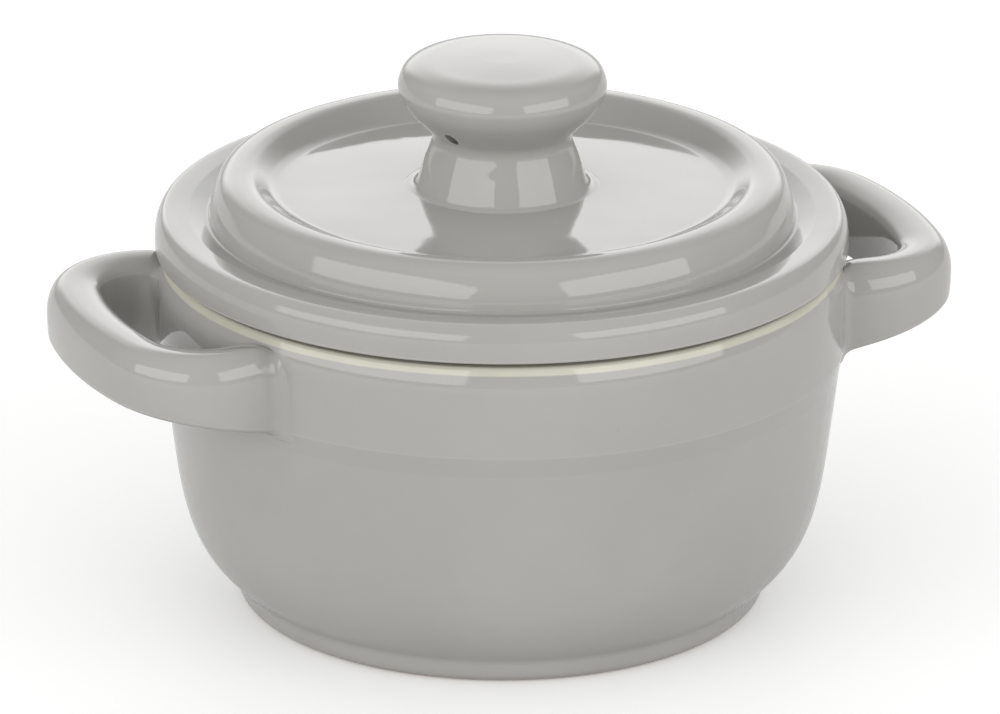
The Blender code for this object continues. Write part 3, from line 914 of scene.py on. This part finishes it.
def start_material(name):
    """A new node material with the glaze group: the material, its tree, its shader and the group."""
    material = bpy.data.materials.new(name)
    material.use_nodes = True
    tree = material.node_tree
    shader = tree.nodes["Principled BSDF"]
    glaze = add_node(tree, "ShaderNodeGroup", node_tree=fired_glaze())
    return material, tree, shader, glaze


def glaze_colour(tree, glaze, plain, deep, thin):
    """Colour of a glaze: clouded, deeper in hollows, thinner over edges, with dark pinholes."""
    bend = add_node(tree, "ShaderNodeAttribute", attribute_name="bend").outputs["Fac"]
    over_edge = fade(tree, bend, BEND_START, BEND_FULL)
    in_hollow = fade(tree, bend, -BEND_FULL, -BEND_START, 1.0, 0.0)
    clouds = combine(tree, "MULTIPLY", glaze.outputs["Clouds"], CLOUD_DEPTH)
    depth = combine(tree, "MAXIMUM", clouds, in_hollow)
    base = mix_colours(tree, depth, plain, deep)
    edged = mix_colours(tree, over_edge, base, thin)
    return mix_colours(tree, glaze.outputs["Pinholes"], edged, PINHOLE_COLOUR)


def gloss(tree, shader, glaze, smoothest):
    """Gives a shader the ripple of a glaze, and returns the roughness."""
    ripple = {"Height": glaze.outputs["Ripple"], "Distance": RIPPLE_DEPTH}
    bump = add_node(tree, "ShaderNodeBump", ripple)
    tree.links.new(bump.outputs["Normal"], shader.inputs["Normal"])
    return fade(tree, glaze.outputs["Clouds"], 0.0, 1.0, smoothest, smoothest * ROUGHNESS_SPREAD)


def even_glaze(name, colours, smoothest):
    """A glaze that covers all of a piece, from its plain, deep and thin colour."""
    material, tree, shader, glaze = start_material(name)
    tree.links.new(glaze_colour(tree, glaze, *colours), shader.inputs["Base Color"])
    tree.links.new(gloss(tree, shader, glaze, smoothest), shader.inputs["Roughness"])
    return material


def grey_glaze(settings, name):
    """Outer glaze, on the handles, the lid and the knob."""
    look = settings.glaze
    return even_glaze(name, (look.grey, look.grey_deep, look.grey_thin), look.gloss)


def cream_glaze(settings):
    """Inside glaze, in the pot and under the lid."""
    look = settings.glaze
    name = "cream_glaze"
    if name in bpy.data.materials:
        return bpy.data.materials[name]
    return even_glaze(name, (look.cream, look.cream_deep, look.cream), look.gloss)


RIM_WAVE = 0.0003  # how far the line between the two glazes wanders
RIM_SOFTNESS = 0.00025
BARE_HEIGHT = 0.0005  # bare clay reaches this high on the foot ring
CLAY_ROUGHNESS = 0.75


def pot_glaze(settings):
    """Outer glaze of the pot, with the inside glaze coming over the lip and bare clay under the foot."""
    look = settings.glaze
    pot = settings.pot
    material, tree, shader, glaze = start_material("pot_glaze")
    place = add_node(tree, "ShaderNodeTexCoord").outputs["Object"]
    height = add_node(tree, "ShaderNodeSeparateXYZ", {"Vector": place}).outputs["Z"]
    wander = combine(tree, "MULTIPLY", noise(tree, place, RIPPLE_SCALE), RIM_WAVE)
    line = combine(tree, "ADD", height, wander)
    rim = pot.height - pot.cream_rim
    over_lip = fade(tree, line, rim, rim + RIM_SOFTNESS)
    bare = fade(tree, line, BARE_HEIGHT, BARE_HEIGHT + RIM_SOFTNESS, 1.0, 0.0)
    grey = glaze_colour(tree, glaze, look.grey, look.grey_deep, look.grey_thin)
    cream = mix_colours(tree, glaze.outputs["Clouds"], look.cream, look.cream_deep)
    glazed = mix_colours(tree, over_lip, grey, cream)
    tree.links.new(mix_colours(tree, bare, glazed, look.clay), shader.inputs["Base Color"])
    rough_clay = combine(tree, "MULTIPLY", bare, CLAY_ROUGHNESS)
    roughness = combine(tree, "MAXIMUM", gloss(tree, shader, glaze, look.gloss), rough_clay)
    tree.links.new(roughness, shader.inputs["Roughness"])
    return material


# Studio

FLOOR_SIZE = 12.0
FLOOR_ROUGHNESS = 0.6
FLOOR_SPECULAR = 0.2
BLACK = (0.0, 0.0, 0.0)
LAMP_DISTANCE = 2.4
LEFT_BOX = (-44.5, 17.0, 65.0, 20.0)  # azimuth from the camera, elevation, width and height, in degrees
RIGHT_BOX = (51.0, 17.0, 52.0, 20.0)
# Directions in the sky are told by their part along an axis, from -1 to 1
SKY_BEND = (0.3, 1.0)  # height over which the light weakens
BACKDROP_FOOT = (-0.05, 0.20)  # height over which the white sheet fades in
BACKDROP_TOP = (0.30, 0.92)  # and out again
BACKDROP_SIDE = (0.30, 0.60)  # where it fades out to the left and the right
BACKDROP_DEPTH = (0.0, 0.2)  # it stands only behind the dish
FRAME_WIDTH = 1000.0  # pixels
FRAME_HEIGHT = 714.0
FOOT_PIXEL = (501.5, 585.1)  # where the middle of the foot stands in the frame
CAMERA_ROLL = math.radians(0.2)
SENSOR = 36.0  # millimetres


def direction(azimuth, elevation):
    """Unit vector from the dish. Azimuth 0 is the front, -Y, and grows to the viewer's right."""
    flat = math.cos(elevation)
    return Vector((math.sin(azimuth) * flat, -math.cos(azimuth) * flat, math.sin(elevation)))


def lamp(name, box, studio, level):
    """A rectangular lamp that the dish sees as a panel, at a level where 1 is white."""
    azimuth, elevation, wide, tall = (math.radians(value) for value in box)
    data = bpy.data.lights.new(name, "AREA")
    data.shape = "RECTANGLE"
    data.size = 2 * LAMP_DISTANCE * math.tan(wide / 2)
    data.size_y = 2 * LAMP_DISTANCE * math.tan(tall / 2)
    data.energy = level * math.pi * data.size * data.size_y
    lamp_object = bpy.data.objects.new(name, data)
    bpy.context.collection.objects.link(lamp_object)
    way = direction(azimuth - studio.azimuth, elevation)
    lamp_object.location = way * LAMP_DISTANCE
    lamp_object.rotation_euler = way.to_track_quat("Z", "Y").to_euler()


def seen_ray(tree):
    """1 for a ray that is seen, mirrored or let through, and 0 for one that only lights."""
    path = add_node(tree, "ShaderNodeLightPath")
    glossy = path.outputs["Is Glossy Ray"]
    mirrored = combine(tree, "MAXIMUM", glossy, path.outputs["Is Transmission Ray"])
    return combine(tree, "MAXIMUM", path.outputs["Is Camera Ray"], mirrored)


def set_floor(studio):
    """A large pale floor, which throws back less light than it shows."""
    bpy.ops.object.select_all(action="DESELECT")
    bpy.ops.mesh.primitive_plane_add(size=FLOOR_SIZE, location=(0, 0, 0))
    floor = bpy.context.object
    floor.name = "studio_floor"
    material = bpy.data.materials.new("studio_floor")
    material.use_nodes = True
    tree = material.node_tree
    shader = tree.nodes["Principled BSDF"]
    tint = mix_colours(tree, seen_ray(tree), studio.bounce, studio.floor)
    tree.links.new(tint, shader.inputs["Base Color"])
    seen = add_node(tree, "ShaderNodeLightPath").outputs["Is Camera Ray"]
    tree.links.new(mix_colours(tree, seen, BLACK, studio.glow), shader.inputs["Emission Color"])
    shader.inputs["Emission Strength"].default_value = 1.0
    shader.inputs["Roughness"].default_value = FLOOR_ROUGHNESS
    shader.inputs["Specular IOR Level"].default_value = FLOOR_SPECULAR
    floor.data.materials.append(material)


def part_along(tree, place, axis):
    """The part of a direction along an axis."""
    product = add_node(tree, "ShaderNodeVectorMath", {0: place, 1: axis}, operation="DOT_PRODUCT")
    return product.outputs["Value"]


def set_sky(studio):
    """Light from all round, weaker overhead. The glaze mirrors a dim room with a white sheet at the back."""
    world = bpy.data.worlds.new("studio_sky")
    bpy.context.scene.world = world
    world.use_nodes = True
    tree = world.node_tree
    background = tree.nodes["Background"]
    place = add_node(tree, "ShaderNodeTexCoord").outputs["Generated"]
    height = add_node(tree, "ShaderNodeSeparateXYZ", {"Vector": place}).outputs["Z"]
    behind = part_along(tree, place, -direction(-studio.azimuth, 0.0))
    right = part_along(tree, place, direction(math.pi / 2 - studio.azimuth, 0.0))
    aside = combine(tree, "ABSOLUTE", right, 0.0)
    top = fade(tree, height, *BACKDROP_TOP, 1.0, 0.0)
    sheet = combine(tree, "MULTIPLY", fade(tree, height, *BACKDROP_FOOT), top)
    sheet = combine(tree, "MULTIPLY", sheet, fade(tree, aside, *BACKDROP_SIDE, 1.0, 0.0))
    sheet = combine(tree, "MULTIPLY", sheet, fade(tree, behind, *BACKDROP_DEPTH))
    mirrored = add_node(tree, "ShaderNodeMix", {"Factor": sheet, "A": studio.dim, "B": studio.backdrop})
    lighting = fade(tree, height, *SKY_BEND, studio.sky, studio.sky * studio.zenith)
    strength = add_node(tree, "ShaderNodeMix", {"Factor": seen_ray(tree), "A": lighting})
    tree.links.new(mirrored.outputs["Result"], strength.inputs["B"])
    tree.links.new(strength.outputs["Result"], background.inputs["Strength"])
    background.inputs["Color"].default_value = (1.0, 1.0, 1.0, 1.0)


def set_camera(studio):
    """Camera at the photo's height and distance, turned so that the foot stands at its pixel."""
    data = bpy.data.cameras.new("camera")
    data.sensor_width = SENSOR
    data.lens = studio.lens
    camera = bpy.data.objects.new("camera", data)
    bpy.context.collection.objects.link(camera)
    way = direction(-studio.azimuth, studio.elevation)
    focal = studio.lens / SENSOR * FRAME_WIDTH
    rise = math.atan((FOOT_PIXEL[1] - FRAME_HEIGHT / 2) / focal)
    swing = math.atan((FOOT_PIXEL[0] - FRAME_WIDTH / 2) / focal)
    aim = way.to_track_quat("Z", "Y").to_matrix().to_4x4()
    turn_up = Matrix.Rotation(rise, 4, "X")
    turn_aside = Matrix.Rotation(swing, 4, "Y")
    roll = Matrix.Rotation(CAMERA_ROLL, 4, "Z")
    camera.matrix_world = Matrix.Translation(way * studio.distance) @ aim @ turn_up @ turn_aside @ roll
    bpy.context.scene.camera = camera


class CASSEROLE_OT_studio(bpy.types.Operator):
    """Sets the floor, the lamps, the sky and the camera"""

    bl_idname = "casserole.studio"
    bl_label = "Studio"

    def execute(self, context):
        studio = context.scene.casserole.studio
        set_floor(studio)
        set_sky(studio)
        lamp("left_softbox", LEFT_BOX, studio, studio.softbox)
        lamp("right_softbox", RIGHT_BOX, studio, studio.softbox)
        set_camera(studio)
        context.scene.view_settings.view_transform = "Standard"
        return {"FINISHED"}


# Panel and running

OPERATORS = (
    CASSEROLE_OT_pot,
    CASSEROLE_OT_handles,
    CASSEROLE_OT_lid,
    CASSEROLE_OT_knob,
    CASSEROLE_OT_studio,
)


class CASSEROLE_PT_panel(bpy.types.Panel):
    """Lists the pieces and the studio in the sidebar"""

    bl_idname = "CASSEROLE_PT_panel"
    bl_label = "Mini casserole dish"
    bl_space_type = "VIEW_3D"
    bl_region_type = "UI"
    bl_category = "Casserole"

    def draw(self, context):
        settings = context.scene.casserole
        for operator in OPERATORS:
            self.layout.operator(operator.bl_idname)
        for name in CasseroleSettings.__annotations__:
            group = getattr(settings, name)
            box = self.layout.box()
            for key in group.__annotations__:
                box.prop(group, key)


CLASSES = (
    PotSizes,
    HandleSizes,
    LidSizes,
    KnobSizes,
    GlazeLook,
    StudioLook,
    CasseroleSettings,
    *OPERATORS,
    CASSEROLE_PT_panel,
)


def register():
    for cls in CLASSES:
        bpy.utils.register_class(cls)
    bpy.types.Scene.casserole = PointerProperty(type=CasseroleSettings)


def unregister():
    del bpy.types.Scene.casserole
    for cls in reversed(CLASSES):
        bpy.utils.unregister_class(cls)


def main():
    """Makes every piece and the studio."""
    register()
    bpy.ops.casserole.pot()
    bpy.ops.casserole.handles()
    bpy.ops.casserole.lid()
    bpy.ops.casserole.knob()
    bpy.ops.casserole.studio()


if __name__ == "__main__":
    main()
